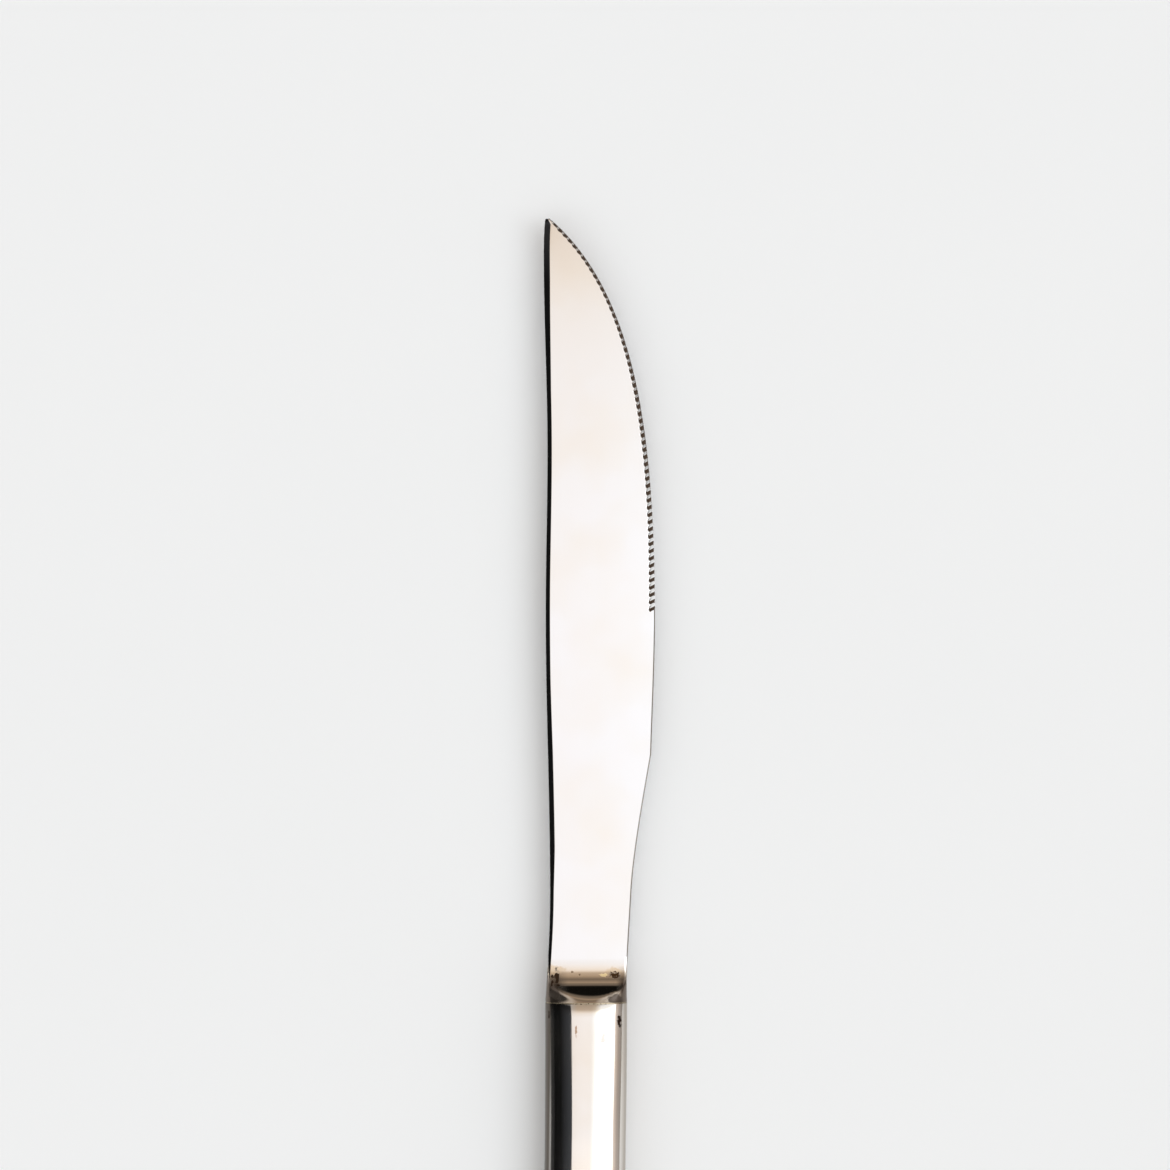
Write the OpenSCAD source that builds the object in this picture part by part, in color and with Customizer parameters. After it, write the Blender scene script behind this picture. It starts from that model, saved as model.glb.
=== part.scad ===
// Serrated table knife with a hollow handle pressed from two steel half shells.
// Frame: +X from the spine to the cutting edge, +Y from the butt to the point, +Z up from the table.
// The knife lies flat on the back of its handle; the origin is under the middle of its box.

/* [Blade] */
// Length of the blade from the handle's mouth to the point
blade_len = 113; // [104:1:125]
// Width of the blade at its widest, from spine to edge
blade_w = 15.75; // [14.5:0.05:18]
// Thickness of the blade at the spine
spine_t = 2.0; // [1.6:0.1:2.6]
// Thickness of the blade along the edge, before the edge bevel
edge_t = 0.7; // [0.6:0.05:1]
// Distance from the knife's axis to the spine at mid blade
spine_mid_x = 5.83; // [5.4:0.01:6.2]
// Distance from the mouth to the fullest point of the spine at mid blade
spine_mid_at = 56; // [46:1:62]
// Distance from the knife's axis to the spine at the hollow of its wave
spine_wave_x = 5.58; // [5.3:0.01:5.8]
// Distance from the point back to the hollow of the spine's wave
spine_wave_back = 34; // [26:1:38]
// Distance from the knife's axis to the spine where the nose begins
spine_nose_x = 6.12; // [5.9:0.01:6.4]
// Length of the rounded nose at the point
nose_len = 5; // [3:0.5:8]
// Distance from the knife's axis to the point
tip_x = 5.6; // [5.2:0.05:5.8]
// Width left on the blunted point
tip_w = 0.4; // [0.2:0.05:0.6]
// Width of the bevel ground along each side of the spine
spine_bevel_w = 0.62; // [0.3:0.02:0.9]
// Depth of the bevel ground along each side of the spine
spine_bevel_d = 0.48; // [0.3:0.02:0.6]

/* [Cutting edge] */
// Distance from the mouth to the end of the curved belly
belly_end = 55; // [48:1:60]
// Slope of the edge at the point, down from square to the axis
tip_slope = 40; // [34:1:46]
// Reach of the belly's curve out of the point
tip_reach = 16.7; // [13:0.1:19]
// Reach of the belly's curve out of the straight edge
edge_reach = 26; // [18:0.5:30]
// Width of the bevel ground on the back along the toothed edge
edge_bevel_w = 1.0; // [0.6:0.05:1.4]
// Depth from the front face at which the bevel on the back reaches the toothed edge
edge_land = 0.3; // [0.28:0.01:0.4]
// Width of the broken corners along the edge
edge_break_w = 0.15; // [0.08:0.01:0.2]
// Length over which the edge bevel runs out behind the teeth
bevel_runout = 2.5; // [1:0.5:5]

/* [Teeth] */
// Pitch of the teeth along the edge
tooth_pitch = 1.05; // [0.95:0.01:1.4]
// Radius of each ground gullet
gullet_r = 0.44; // [0.25:0.01:0.5]
// Depth of each gullet below the front face at the edge
gullet_depth = 0.26; // [0.15:0.01:0.28]
// Rise of each gullet from the edge up to the front face
gullet_rise = 17; // [12:1:30]
// Lean of each gullet toward the point
gullet_lean = 25; // [0:1:30]
// Distance along the edge from the point to the first gullet
first_tooth = 1.0; // [0.8:0.1:4]
// Distance along the edge from the last gullet to the end of the belly
last_tooth = 1.2; // [0.8:0.1:6]

/* [Heel and neck] */
// Distance from the mouth to the heel of the edge
heel_at = 35.6; // [30:0.5:42]
// Distance that the heel lies inside the widest point
heel_in = 0.55; // [0.2:0.05:1.2]
// Distance from the mouth to the narrowest part of the neck
neck_at = 15.5; // [12:0.5:20]
// Distance from the knife's axis to the spine at the neck
neck_spine_x = 5.2; // [4.8:0.05:5.6]
// Distance from the knife's axis to the edge side at the neck
neck_edge_x = 6.5; // [6.1:0.05:6.9]

/* [Bolster] */
// Length of the bolster from the handle's mouth to the flat of the blade
bolster_len = 6.0; // [5.4:0.1:9]
// Length of the hollow fillet in front of the bolster
fillet_len = 5.0; // [3:0.1:5.2]
// Depth that the fillet starts below the blade's face
fillet_sink = 0.12; // [0.05:0.01:0.2]
// Length of the spigot that enters the handle
spigot_len = 2.5; // [1.5:0.1:5]

/* [Tang] */
// Length of the tang behind the spigot
tang_len = 42; // [30:1:48]
// Width of the tang at the spigot
tang_root_w = 6.4; // [5:0.1:7.5]
// Width of the tang at its end
tang_end_w = 4.6; // [4:0.1:6]
// Thickness of the tang
tang_t = 2.6; // [2:0.1:3.4]
// Radius of the notches that key the tang into the cement
notch_r = 0.8; // [0.4:0.1:1.1]
// Distance from the spigot to the first pair of notches
notch_at = 14; // [8:1:16]
// Spacing of the pairs of notches
notch_step = 12; // [8:1:13]
// Number of pairs of notches
notch_pairs = 3; // [1:1:3]

/* [Handle] */
// Length of the handle from its mouth to the end of the butt
handle_len = 112; // [104:1:125]
// Width of the handle at its mouth
mouth_w = 11.84; // [11.4:0.02:12.4]
// Thickness of the handle at its mouth
mouth_t = 7.0; // [6.6:0.1:7.8]
// Width of the handle at its waist
waist_w = 11.7; // [11:0.1:12.4]
// Distance from the mouth to the waist
waist_at = 28; // [20:1:40]
// Width of the handle at the butt
butt_w = 15; // [13:0.1:17]
// Length of the rounded butt
butt_round = 18; // [12:0.5:24]
// Thickness of the handle across its flats
grip_t = 7.8; // [7.8:0.1:9]
// Height of the crown that each flat is ground off
flat_crown = 0.1; // [0.05:0.01:0.2]
// Distance from the mouth over which the handle swells to full thickness
swell_len = 20; // [14:1:24]
// Length of the rounding of the butt seen from the side
butt_side_round = 8; // [5:0.5:11]
// Sweep of the handle's centre toward the spine side at the butt
handle_sweep = 1.2; // [0:0.1:2]
// Wall of the pressed half shells
wall = 0.9; // [0.6:0.05:1.2]
// Squareness of the handle's section, 2 is an ellipse
section_power = 2.3; // [2:0.1:3]

/* [Joints and filling] */
// Thickness of the braze in the seam between the half shells
seam_braze_t = 0.2; // [0.1:0.05:0.4]
// Thickness of the braze between bolster and handle
mouth_braze_t = 0.2; // [0.1:0.05:0.4]
// Clearance between parts that slide into one another
fit_gap = 0.05; // [0.02:0.01:0.1]
// Length of the balance weight
weight_len = 38; // [25:1:42]
// Width of the balance weight
weight_w = 9; // [7:0.1:9.4]
// Thickness of the balance weight
weight_t = 4.4; // [3.4:0.1:5]
// Distance from the end of the butt to the balance weight
weight_back = 8.5; // [8:0.1:12]

/* [Hidden] */
$fn = 48;
// Steps along the belly, the heel and the neck
belly_steps = 40;
heel_steps = 12;
// Crowding of the belly's steps toward the point
belly_crowding = 1.4;
// Steps along each curve of the bolster
bolster_steps = 8;
// Steps along the handle's length, round its butt and over half its section
grip_steps = 16;
butt_steps = 8;
arc_steps = 20;
// Angle at which the rounded butt ends in its small flat
butt_end_angle = 84;
// Share of the side rounding that is reached at the end of the butt
side_round_end = 0.98;
// Overshoot of cutting bodies past the face they cut
over = 1;
// Length of the wheel that grinds a gullet
wheel_len = 3;
// Greatest share of the blade's width that a bevel takes near the point
bevel_share = 0.4;
// Least share of the blade's thickness that the spine keeps between its bevels
spine_share = 0.4;
// Pull of the plain edge's curve at both of its ends, across and along
plain_pull = 0.3;
// Pull of the heel's curve at the heel, across and along
heel_pull = [0.37, 0.3];
// Pull of the heel's curve at the neck, across and along
heel_fade = [0.09, 0.27];
// Pull of the neck's curve at the neck, across and along
neck_pull = [0.6, 0.4];
// Pull of the neck's curve at the mouth, across and along; the pinch is a negative pull
mouth_pinch = [-0.35, 0.25];

edge_x = blade_w - spine_mid_x;
heel_x = edge_x - heel_in;
full_half_t = grip_t / 2 + flat_crown;
butt_at = handle_len - butt_round;
mid_x = (edge_x - butt_w / 2 - handle_sweep) / 2;
mid_y = (blade_len - handle_len) / 2;

function ease(t) = (1 - cos(180 * t)) / 2;
function mix(a, b, t) = a + (b - a) * t;
function bezier(p, t) = pow(1 - t, 3) * p[0] + 3 * pow(1 - t, 2) * t * p[1]
    + 3 * (1 - t) * pow(t, 2) * p[2] + pow(t, 3) * p[3];
function slope(p, t) = pow(1 - t, 2) * (p[1] - p[0]) + 2 * (1 - t) * t * (p[2] - p[1])
    + pow(t, 2) * (p[3] - p[2]);
function power(v) = sign(v) * pow(abs(v), 2 / section_power);

// Control points of the cutting edge, from the point down to the mouth
tip = [-tip_x + tip_w / 2, blade_len];
belly = [
    tip,
    tip + tip_reach * [cos(tip_slope), -sin(tip_slope)],
    [edge_x, belly_end + edge_reach],
    [edge_x, belly_end]
];
plain = [
    [edge_x, belly_end],
    [edge_x, mix(belly_end, heel_at, plain_pull)],
    [mix(heel_x, edge_x, plain_pull), mix(heel_at, belly_end, plain_pull)],
    [heel_x, heel_at]
];
heel = [
    [heel_x, heel_at],
    [mix(heel_x, neck_edge_x, heel_pull[0]), mix(heel_at, neck_at, heel_pull[1])],
    [mix(neck_edge_x, heel_x, heel_fade[0]), mix(neck_at, heel_at, heel_fade[1])],
    [neck_edge_x, neck_at]
];
neck = [
    [neck_edge_x, neck_at],
    [mix(neck_edge_x, mouth_w / 2, neck_pull[0]), mix(neck_at, 0, neck_pull[1])],
    [mix(mouth_w / 2, neck_edge_x, mouth_pinch[0]), mix(0, neck_at, mouth_pinch[1])],
    [mouth_w / 2, 0]
];

// Points along the edge with the share of its direction that runs along the knife
function facing(t) = -slope(belly, t)[1] / norm(slope(belly, t));
edge_points = concat(
    [for (i = [0 : belly_steps])
        let (t = pow(i / belly_steps, belly_crowding))
        concat(bezier(belly, t), facing(t))],
    [for (curve = [plain, heel, neck], i = [1 : heel_steps]) concat(bezier(curve, i / heel_steps), 1)]
);

// Distance of the spine from the axis at the height y above the mouth
wave_at = blade_len - spine_wave_back;
nose_at = blade_len - nose_len;
function spine_x(y) =
    y < neck_at ? mix(mouth_w / 2, neck_spine_x, sin(90 * y / neck_at))
    : y < spine_mid_at ? mix(neck_spine_x, spine_mid_x, ease((y - neck_at) / (spine_mid_at - neck_at)))
    : y < wave_at ? mix(spine_mid_x, spine_wave_x, ease((y - spine_mid_at) / (wave_at - spine_mid_at)))
    : y < nose_at ? mix(spine_wave_x, spine_nose_x, ease((y - wave_at) / (nose_at - wave_at)))
    : mix(tip_x + tip_w / 2, spine_nose_x, sqrt(max(0, 1 - pow((y - nose_at) / nose_len, 2))));

// Half thickness of the blade, falling evenly from spine to edge; along the belly it follows the curve
function half_t(x) = mix(edge_t, spine_t, (edge_x - x) / blade_w) / 2;
function local_half_t(e, x) = e[1] > belly_end
    ? mix(edge_t, spine_t, (e[0] - x) * e[2] / blade_w) / 2
    : half_t(x);

// Cross-section of the blade through the edge point e, round from the back of the spine
function blade_section(e) =
    let (
        xs = -spine_x(e[1]),
        y = e[1],
        width = e[0] - xs,
        run = max(0, min(1, (belly_end - y) / bevel_runout)),
        spine_b = min(spine_bevel_w, width * bevel_share),
        break_b = min(edge_break_w, width * bevel_share),
        edge_b = min(mix(edge_bevel_w, edge_break_w, run), width * bevel_share),
        spine_h = max(local_half_t(e, xs) - spine_bevel_d, local_half_t(e, xs) * spine_share),
        edge_h = local_half_t(e, e[0]),
        edge_back = mix(edge_h - edge_land, edge_break_w - edge_h, run)
    )
    [
        [xs + spine_b, y, -local_half_t(e, xs + spine_b)],
        [xs, y, -spine_h],
        [xs, y, spine_h],
        [xs + spine_b, y, local_half_t(e, xs + spine_b)],
        [e[0] - break_b, y, local_half_t(e, e[0] - break_b)],
        [e[0], y, edge_h - edge_break_w],
        [e[0], y, edge_back],
        [e[0] - edge_b, y, -local_half_t(e, e[0] - edge_b)]
    ];

// Solid through a list of closed cross-sections
module loft(rings) {
    n = len(rings[0]);
    last = len(rings) - 1;
    polyhedron(
        points = [for (r = rings) each r],
        faces = concat(
            [[for (j = [n - 1 : -1 : 0]) j]],
            [[for (j = [0 : n - 1]) last * n + j]],
            [for (i = [0 : last - 1], j = [0 : n - 1])
                each [
                    [i * n + j, i * n + (j + 1) % n, (i + 1) * n + j],
                    [i * n + (j + 1) % n, (i + 1) * n + (j + 1) % n, (i + 1) * n + j]
                ]]
        )
    );
}

// Places of the gullets along the belly, by length of edge from the point
belly_samples = 160;
belly_track = [for (i = [0 : belly_samples]) bezier(belly, i / belly_samples)];
function belly_step(i) = i < belly_samples ? norm(belly_track[i + 1] - belly_track[i]) : 0;
belly_run = [for (i = 0, s = 0; i <= belly_samples; s = s + belly_step(i), i = i + 1)
    [s, i / belly_samples]];
belly_length = belly_run[belly_samples][0];
tooth_count = floor((belly_length - first_tooth - last_tooth) / tooth_pitch) + 1;

// One gullet, a round groove in the front face that runs out of the edge
module gullet(t) {
    e = bezier(belly, t);
    along = slope(belly, t);
    outward = atan2(along[0], -along[1]) + gullet_lean;
    translate([e[0], e[1], edge_t / 2 - gullet_depth])
        rotate([0, 0, outward])
            rotate([0, gullet_rise - 90, 0])
                translate([gullet_r, 0, -over])
                    cylinder(r = gullet_r, h = wheel_len);
}

// Cross-section of the handle's mouth, drawn smaller by inset
module mouth_section(inset) {
    polygon([for (j = [0 : 2 * arc_steps - 1])
        let (q = 180 * j / arc_steps)
        [(mouth_w / 2 - inset) * power(cos(q)), (mouth_t / 2 - inset) * power(sin(q))]]);
}

// Slab with the mouth's cross-section from y0 up to y1
module mouth_slab(inset, y0, y1) {
    translate([0, y1, 0])
        rotate([90, 0, 0])
            linear_extrude(height = y1 - y0)
                mouth_section(inset);
}

// Side view of the bolster: a hollow fillet that turns into a round crest
module bolster_profile() {
    start_h = half_t(mouth_w / 2) - fillet_sink;
    climb = mouth_t / 2 - start_h;
    turn = 2 * atan(climb / bolster_len);
    fillet_r = fillet_len / sin(turn);
    crest_r = (bolster_len - fillet_len) / sin(turn);
    upper = concat(
        [for (i = [0 : bolster_steps])
            let (q = turn * i / bolster_steps)
            [bolster_len - fillet_r * sin(q), start_h + fillet_r * (1 - cos(q))]],
        [for (i = [bolster_steps - 1 : -1 : 0])
            let (q = turn * i / bolster_steps)
            [crest_r * sin(q), mouth_t / 2 - crest_r * (1 - cos(q))]]
    );
    polygon(concat(upper, [for (i = [len(upper) - 1 : -1 : 0]) [upper[i][0], -upper[i][1]]]));
}

// Top view of the bolster, between spine and edge side
module bolster_plan() {
    polygon(concat(
        [for (i = [0 : heel_steps]) bezier(neck, i / heel_steps)],
        [for (i = [0 : bolster_steps])
            let (y = neck_at * i / bolster_steps)
            [-spine_x(y), y]]
    ));
}

module bolster() {
    intersection() {
        translate([0, 0, -mouth_t])
            linear_extrude(height = 2 * mouth_t)
                bolster_plan();
        translate([-mouth_w, 0, 0])
            rotate([90, 0, 90])
                linear_extrude(height = 2 * mouth_w)
                    bolster_profile();
        mouth_slab(0, 0, bolster_len);
    }
}

// Top view of the tang, drawn larger by gap for the pocket it fills
tang_top = -mouth_braze_t - spigot_len;
module tang_plan(gap) {
    end = tang_top - tang_len;
    difference() {
        polygon([
            [-tang_root_w / 2 - gap, tang_top + over],
            [tang_root_w / 2 + gap, tang_top + over],
            [tang_root_w / 2 + gap, tang_top],
            [tang_end_w / 2 + gap, end - gap],
            [-tang_end_w / 2 - gap, end - gap],
            [-tang_root_w / 2 - gap, tang_top]
        ]);
        for (k = [0 : notch_pairs - 1], side = [-1, 1])
            let (d = notch_at + k * notch_step)
                translate([side * mix(tang_root_w, tang_end_w, d / tang_len) / 2, tang_top - d])
                    circle(r = notch_r - gap);
    }
}

module tang(gap) {
    translate([0, 0, -tang_t / 2 - gap])
        linear_extrude(height = tang_t + 2 * gap)
            tang_plan(gap);
}

// Stations along the handle: distance from the mouth and turn round the butt
stations = concat(
    [for (i = [0 : grip_steps]) [mix(mouth_braze_t, butt_at, i / grip_steps), 0]],
    [for (i = [1 : butt_steps]) [butt_at, butt_end_angle * i / butt_steps]]
);
last_station = len(stations) - 1;

// Distance from the mouth, half width and half thickness at a station, drawn smaller by inset
function station_at(s, inset) = s[0] + (butt_round - inset) * sin(s[1]) / sin(butt_end_angle);
function plan_half(d) = d < waist_at
    ? mix(mouth_w, waist_w, ease(d / waist_at)) / 2
    : mix(waist_w, butt_w, ease((d - waist_at) / (butt_at - waist_at))) / 2;
function station_w(s, inset) = (plan_half(s[0]) - inset) * cos(s[1]);
function station_t(s, inset) =
    let (
        swell = mix(mouth_t / 2, full_half_t, ease(min(1, s[0] / swell_len))),
        into = station_at(s, inset) - (handle_len - butt_side_round),
        share = min(side_round_end, max(0, into) / (butt_side_round - inset))
    )
    (swell - inset) * sqrt(1 - pow(share, 2));
function station_x(s) = -handle_sweep * ease(s[0] / butt_at);

// Half of the handle's cross-section at a station, over the front from spine side to edge side
function half_arc(s, inset, base) = [for (j = [0 : arc_steps])
    let (q = 180 * j / arc_steps)
    [
        station_x(s) - station_w(s, inset) * power(cos(q)),
        -station_at(s, inset),
        mix(base, station_t(s, inset), power(sin(q)))
    ]];

// Pressed half shell: outer and inner skin, joined at the mouth, along the seam and at the butt
module half_shell() {
    n = arc_steps + 1;
    base = seam_braze_t / 2;
    inner = (last_station + 1) * n;
    end = last_station * n;
    difference() {
        polyhedron(
            points = concat(
                [for (s = stations) each half_arc(s, 0, base)],
                [for (s = stations) each half_arc(s, wall, base)]
            ),
            faces = concat(
                [for (i = [0 : last_station - 1], j = [0 : arc_steps - 1])
                    let (a = i * n + j)
                    each [[a, a + n, a + 1], [a + 1, a + n, a + n + 1]]],
                [for (i = [0 : last_station - 1], j = [0 : arc_steps - 1])
                    let (a = inner + i * n + j)
                    each [[a, a + 1, a + n], [a + 1, a + n + 1, a + n]]],
                [for (j = [0 : arc_steps - 1])
                    each [[j, j + 1, inner + j], [j + 1, inner + j + 1, inner + j]]],
                [for (i = [0 : last_station - 1])
                    let (a = i * n)
                    each [[a, inner + a, a + n], [inner + a, inner + a + n, a + n]]],
                [for (i = [0 : last_station - 1])
                    let (a = i * n + arc_steps)
                    each [[a, a + n, inner + a], [inner + a, a + n, inner + a + n]]],
                [[for (j = [arc_steps : -1 : 0]) end + j]],
                [[for (j = [0 : arc_steps]) inner + end + j]],
                [
                    [end, inner + end, end + arc_steps],
                    [inner + end, inner + end + arc_steps, end + arc_steps]
                ]
            )
        );
        translate([-butt_w, -handle_len - over, grip_t / 2])
            cube([2 * butt_w, handle_len + 2 * over, full_half_t]);
    }
}

// Places a piece drawn from the mouth's centre into the frame of the lying knife
module lay() {
    translate([-mid_x, -mid_y, grip_t / 2])
        children();
}

// Forged blade with its bolster, spigot and tang
module blade() {
    color("silver")
        lay()
            difference() {
                union() {
                    loft([for (e = edge_points) blade_section(e)]);
                    bolster();
                    mouth_slab(wall + fit_gap, -mouth_braze_t - spigot_len, over);
                    tang(0);
                }
                for (k = [0 : tooth_count - 1])
                    gullet(lookup(first_tooth + k * tooth_pitch, belly_run));
            }
}

// Pressed half shell on the front of the handle
module handle_front_shell() {
    color("gainsboro")
        lay()
            half_shell();
}

// Pressed half shell on the back of the handle, the one that lies on the table
module handle_back_shell() {
    color("lightgray")
        lay()
            mirror([0, 0, 1])
                half_shell();
}

// Braze in the seam along both narrow sides and round the butt
module seam_braze() {
    function side(s, inset, way) = [station_x(s) + way * station_w(s, inset), -station_at(s, inset)];
    color("goldenrod")
        lay()
            translate([0, 0, -seam_braze_t / 2])
                linear_extrude(height = seam_braze_t)
                    polygon(concat(
                        [for (i = [0 : last_station]) side(stations[i], 0, -1)],
                        [for (i = [last_station : -1 : 0]) side(stations[i], 0, 1)],
                        [for (i = [0 : last_station]) side(stations[i], wall, 1)],
                        [for (i = [last_station : -1 : 0]) side(stations[i], wall, -1)]
                    ));
}

// Ring of braze between the bolster and the mouth of the handle
module mouth_braze() {
    color("darkgoldenrod")
        lay()
            difference() {
                mouth_slab(0, -mouth_braze_t, 0);
                mouth_slab(wall, -mouth_braze_t - over, over);
            }
}

// Cement that fills the handle, with pockets for the tang and the balance weight
weight_end = weight_back - handle_len;
module tang_cement() {
    inset = wall + fit_gap;
    function ring(s) =
        let (front = half_arc(s, inset, 0))
        concat(front, [for (j = [arc_steps - 1 : -1 : 1]) [front[j][0], front[j][1], -front[j][2]]]);
    color("tan")
        lay()
            difference() {
                loft([for (s = stations) ring(s)]);
                translate([-butt_w, tang_top - fit_gap, -grip_t])
                    cube([2 * butt_w, handle_len, 2 * grip_t]);
                translate([-butt_w, weight_end - handle_len, -grip_t])
                    cube([2 * butt_w, handle_len, 2 * grip_t]);
                tang(fit_gap);
                weight_bar(fit_gap);
            }
}

// Flat bar with round edges, drawn larger by gap for the pocket it fills
module weight_bar(gap) {
    r = weight_t / 2 + gap;
    offset_x = (weight_w - weight_t) / 2;
    translate([-handle_sweep, weight_end + weight_len + gap, 0])
        rotate([90, 0, 0])
            linear_extrude(height = weight_len + (gap > 0 ? over : 0) + gap) {
                square([2 * offset_x, 2 * r], center = true);
                for (side = [-1, 1])
                    translate([side * offset_x, 0])
                        circle(r = r);
            }
}

// Steel bar in the butt that balances the blade
module balance_weight() {
    color("dimgray")
        lay()
            weight_bar(0);
}

blade();
handle_front_shell();
handle_back_shell();
seam_braze();
mouth_braze();
tang_cement();
balance_weight();
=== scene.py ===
"""Serrated table knife with a hollow steel handle: its looks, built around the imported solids."""

import bmesh
import bpy
import numpy as np
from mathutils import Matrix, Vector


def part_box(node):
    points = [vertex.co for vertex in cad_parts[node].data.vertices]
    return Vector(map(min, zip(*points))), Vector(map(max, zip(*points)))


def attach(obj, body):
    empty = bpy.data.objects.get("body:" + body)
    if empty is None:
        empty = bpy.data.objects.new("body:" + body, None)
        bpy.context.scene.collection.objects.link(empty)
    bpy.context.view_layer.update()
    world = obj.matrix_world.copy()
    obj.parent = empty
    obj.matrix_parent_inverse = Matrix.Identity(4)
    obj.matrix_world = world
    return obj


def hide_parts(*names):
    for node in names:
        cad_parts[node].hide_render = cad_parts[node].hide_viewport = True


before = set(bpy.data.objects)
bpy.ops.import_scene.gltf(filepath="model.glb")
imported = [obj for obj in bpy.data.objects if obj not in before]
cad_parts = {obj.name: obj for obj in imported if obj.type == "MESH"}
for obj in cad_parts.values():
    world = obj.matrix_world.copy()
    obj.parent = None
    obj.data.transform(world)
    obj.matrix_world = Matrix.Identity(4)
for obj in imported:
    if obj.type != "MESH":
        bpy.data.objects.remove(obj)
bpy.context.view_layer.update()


# Handle: two mirror-image half shells, pressed from 0.9 mm chromium nickel sheet, trimmed along the
# seam and mirror polished outside once they are brazed. Lengths are in millimetres, measured from the
# middle of the handle's mouth: x to the cutting edge, y to the point, z up.
mm = 0.001
ring_low, ring_high = (np.array(corner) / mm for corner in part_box("mouth_braze"))
shell_low, shell_high = (np.array(corner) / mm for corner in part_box("handle_front_shell"))
mouth_centre = np.array([(ring_low[0] + ring_high[0]) / 2, ring_high[1], (ring_low[2] + ring_high[2]) / 2])
mouth_half_w = (ring_high[0] - ring_low[0]) / 2
mouth_half_t = (ring_high[2] - ring_low[2]) / 2
braze_t = ring_high[1] - ring_low[1]
grip_half_t = shell_high[2] - mouth_centre[2]
seam_half = shell_low[2] - mouth_centre[2]
handle_len = mouth_centre[1] - shell_low[1]
butt_half_w = (shell_high[0] - shell_low[0]) / 2
handle_sweep = mouth_centre[0] - (shell_high[0] + shell_low[0]) / 2
wall = 0.9
waist_half_w = 5.85
waist_at = 28.0
butt_round = 18.0
butt_side_round = 8.0
swell_len = 20.0
section_power = 2.3
mouth_dip = 0.31
mouth_dip_len = 2.48
rim_break = 0.05
straight_rows = 110
round_rows = 44
shell_columns = 97
mouth_crowding = 1.5
weld = 0.002
crease = np.radians(25)


def ease(t):
    """Half a cosine wave from 0 to 1, level at both ends."""
    return (1 - np.cos(np.pi * np.clip(t, 0, 1))) / 2


def blunt(v):
    """Signed power that turns a circle's sine and cosine into the section's superellipse."""
    return np.sign(v) * np.abs(v) ** (2 / section_power)


def handle_stations(inset):
    """Distance from the mouth, centre, half width and half thickness of the handle, drawn smaller by inset.
    The half width eases from mouth to waist to butt and closes as a quarter ellipse; the half thickness dips
    at the mouth, swells to the grip and closes as a steeper quarter ellipse."""
    butt_at = handle_len - butt_round
    straight = braze_t + (butt_at - braze_t) * np.linspace(0, 1, straight_rows) ** mouth_crowding
    turn = np.linspace(0, np.pi / 2, round_rows)[1:]
    d = np.append(straight, butt_at + (butt_round - inset) * np.sin(turn))
    shrink = np.append(np.ones(straight_rows), np.cos(turn))
    body = np.minimum(d, butt_at)
    to_waist = mouth_half_w + (waist_half_w - mouth_half_w) * ease(body / waist_at)
    to_butt = (butt_half_w - waist_half_w) * ease((body - waist_at) / (butt_at - waist_at))
    half_w = (to_waist + to_butt - inset) * shrink
    swell = mouth_half_t + (grip_half_t - mouth_half_t) * ease(d / swell_len)
    dip = mouth_dip * np.clip(1 - d / mouth_dip_len, 0, 1) ** 2
    side_turn = (d - handle_len + butt_side_round) / (butt_side_round - inset)
    half_t = (swell - dip - inset) * np.sqrt(1 - np.clip(side_turn, 0, 1) ** 2)
    return d, -handle_sweep * ease(body / butt_at), half_w, half_t


def handle_skin(inset):
    """Front half of the handle's surface: rows run from mouth to butt, columns from the spine-side seam over
    the front to the edge-side seam, each row half a superellipse that stands on the seam's plane."""
    d, centre, half_w, half_t = handle_stations(inset)
    q = np.linspace(0, np.pi, shell_columns)
    x = centre[:, None] - half_w[:, None] * blunt(np.cos(q))
    z = seam_half + np.maximum(half_t - seam_half, 0)[:, None] * blunt(np.sin(q))
    return np.stack([x, np.broadcast_to(-d[:, None], x.shape), z], -1)


def make_piece(name, sheets, marks=None, soft=None):
    """Joins sheets of points (rows, columns, xyz in mm from the mouth) into one mesh: quads between
    neighbours, shared rims and poles merged, faces turned outwards, shaded smooth except across creases.
    Marks are values per point that a material can read; soft is a stretch of y in which no crease is kept."""
    faces, start = [], 0
    for sheet in sheets:
        rows, columns = sheet.shape[:2]
        at = start + np.arange(rows * columns).reshape(rows, columns)
        quads = np.stack([at[:-1, :-1], at[:-1, 1:], at[1:, 1:], at[1:, :-1]], -1)
        faces.append(quads.reshape(-1, 4))
        start += rows * columns
    points = np.concatenate([sheet.reshape(-1, 3) for sheet in sheets])
    mesh = bpy.data.meshes.new(name)
    mesh.from_pydata(((points + mouth_centre) * mm).tolist(), [], np.concatenate(faces).tolist())
    for mark, values in (marks or {}).items():
        mesh.attributes.new(mark, "FLOAT", "POINT").data.foreach_set("value", values.ravel())
    bm = bmesh.new()
    bm.from_mesh(mesh)
    bmesh.ops.remove_doubles(bm, verts=bm.verts, dist=weld * mm)
    bmesh.ops.recalc_face_normals(bm, faces=bm.faces)
    bm.to_mesh(mesh)
    bm.free()
    mesh.shade_smooth()
    mesh.set_sharp_from_angle(angle=crease)
    if soft:
        edge_ends = np.zeros(2 * len(mesh.edges), np.int32)
        mesh.edges.foreach_get("vertices", edge_ends)
        places = np.zeros(3 * len(mesh.vertices), np.float32)
        mesh.vertices.foreach_get("co", places)
        end_y = places[1::3][edge_ends].reshape(-1, 2) / mm - mouth_centre[1]
        sharp = np.zeros(len(mesh.edges), bool)
        mesh.attributes["sharp_edge"].data.foreach_get("value", sharp)
        sharp &= ((end_y < soft[0]) | (end_y > soft[1])).any(1)
        mesh.attributes["sharp_edge"].data.foreach_set("value", sharp)
    piece = bpy.data.objects.new(name, mesh)
    bpy.context.scene.collection.objects.link(piece)
    return piece


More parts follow.
